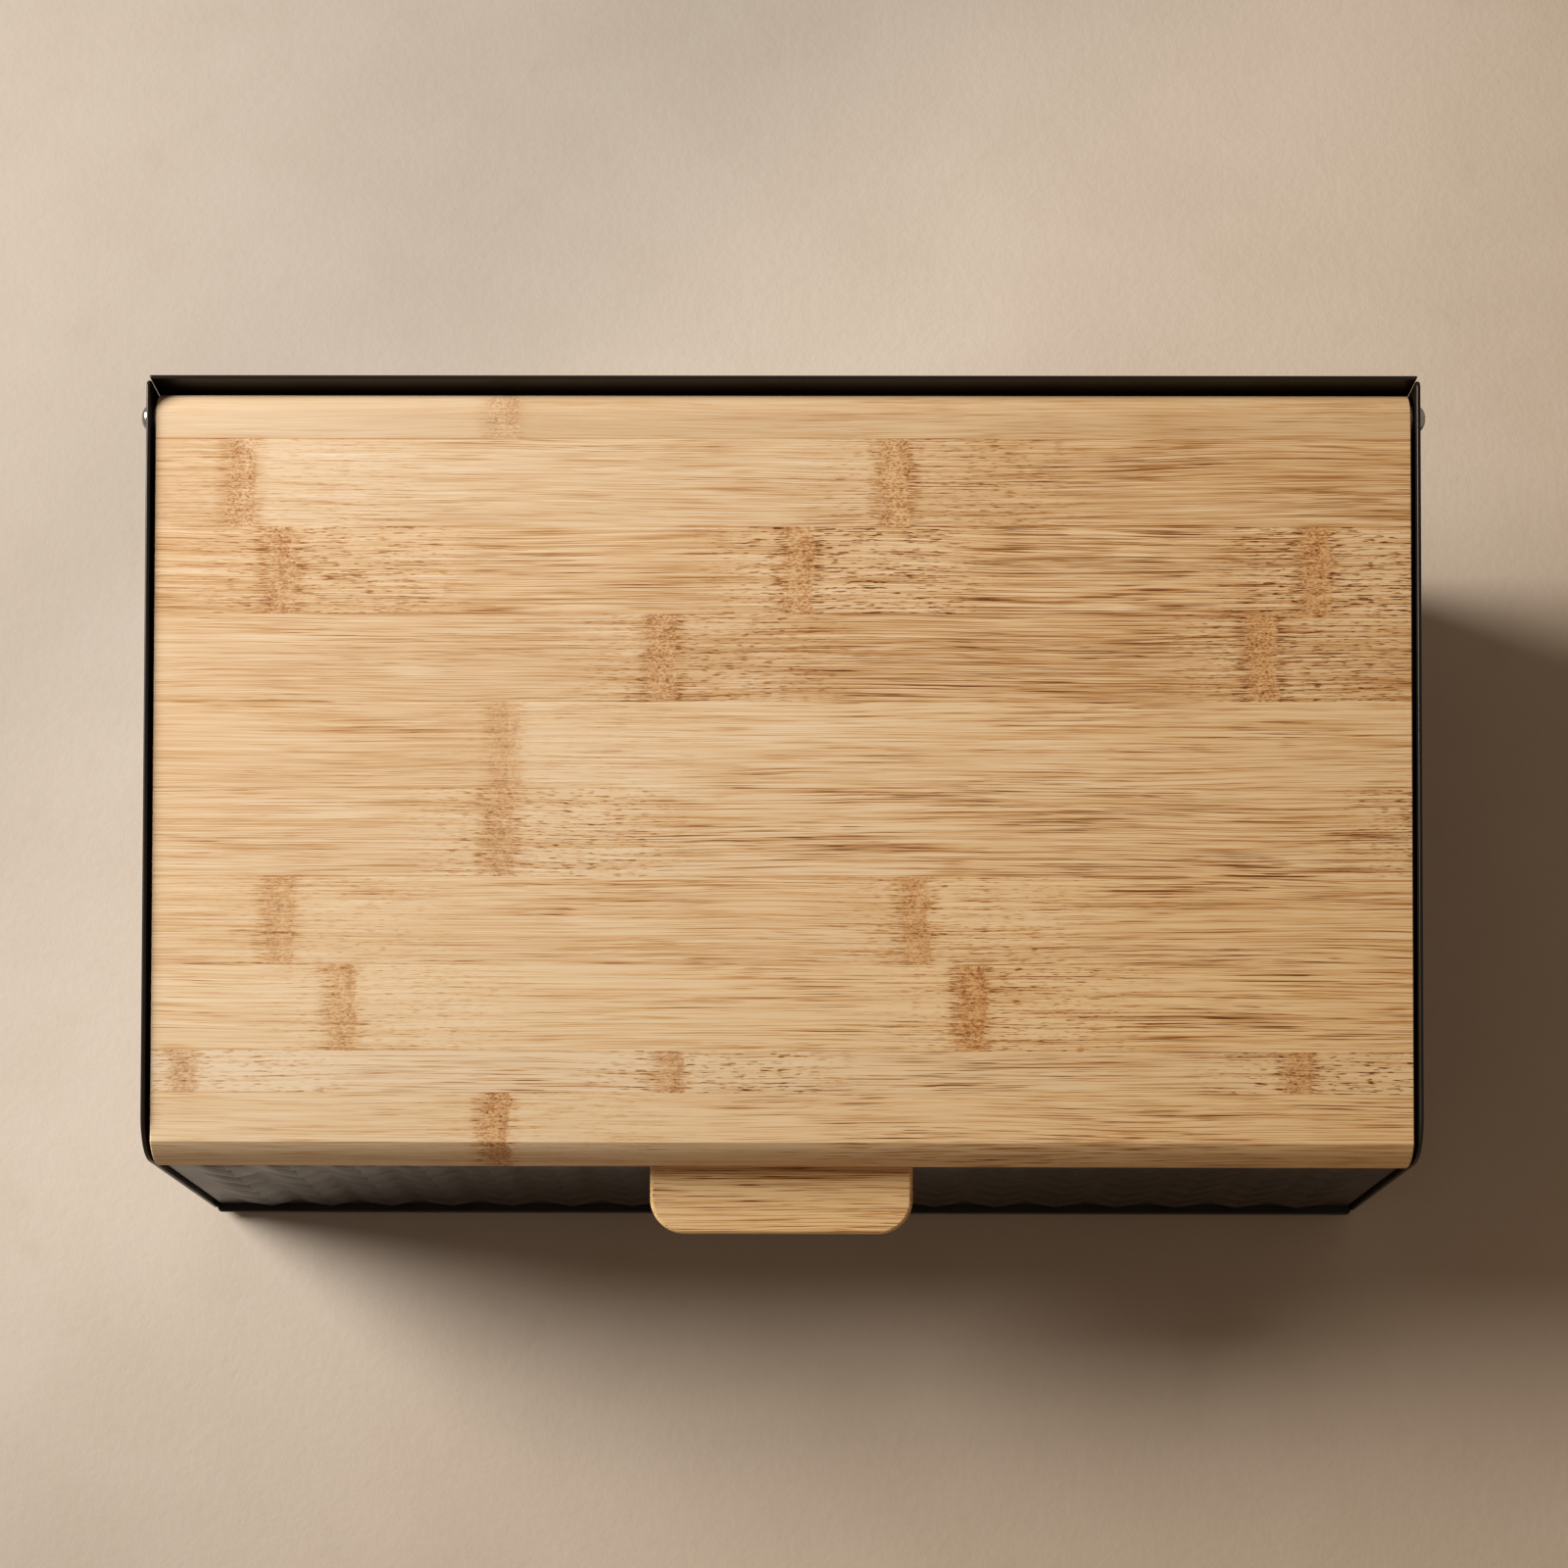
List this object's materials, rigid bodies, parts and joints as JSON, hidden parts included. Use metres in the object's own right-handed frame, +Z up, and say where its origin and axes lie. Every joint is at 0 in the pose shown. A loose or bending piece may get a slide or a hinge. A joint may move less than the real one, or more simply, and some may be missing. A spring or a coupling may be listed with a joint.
{
  "type": "bread box",
  "caption": "Sheet-steel bread box with a sloping bamboo lid that pivots up on side screws, a pull tab at its front edge and an embossed front panel.",
  "frame": {"origin": "middle of the box's outline at the height of the feet's soles", "axes": "+X to the right seen from the front, +Y to the back, +Z up; the front panel faces -Y"},
  "size_m": [0.3656, 0.2325, 0.1673],
  "materials": {
    "black_steel": "satin black powder coat",
    "bamboo": "oiled bamboo in wide glued strips",
    "screw_steel": "polished",
    "nylon": "natural nylon",
    "brass": "turned",
    "rubber": "matte black"
  },
  "bodies": {
    "body": {"left_side_panel": "black_steel", "right_side_panel": "black_steel", "front_panel": "black_steel", "back_panel": "black_steel", "base_plate": "black_steel", "foot_front_left": "rubber", "foot_rear_left": "rubber", "foot_front_right": "rubber", "foot_rear_right": "rubber", "lid_bumper_left": "rubber", "lid_bumper_right": "rubber"},
    "lid": {"lid_board": "bamboo", "handle_tab": "bamboo", "pivot_screw_left": "screw_steel", "pivot_screw_right": "screw_steel", "pivot_washer_left": "nylon", "pivot_washer_right": "nylon", "pivot_insert_left": "brass", "pivot_insert_right": "brass", "handle_screw_left": "screw_steel", "handle_screw_right": "screw_steel"}
  },
  "joints": [
    {"name": "lid_hinge", "type": "hinge", "parent": "body", "child": "lid", "pos_m": [0, 0.10725, 0.1569], "axis": [-1, 0, 0], "range_deg": [0, 109]}
  ]
}
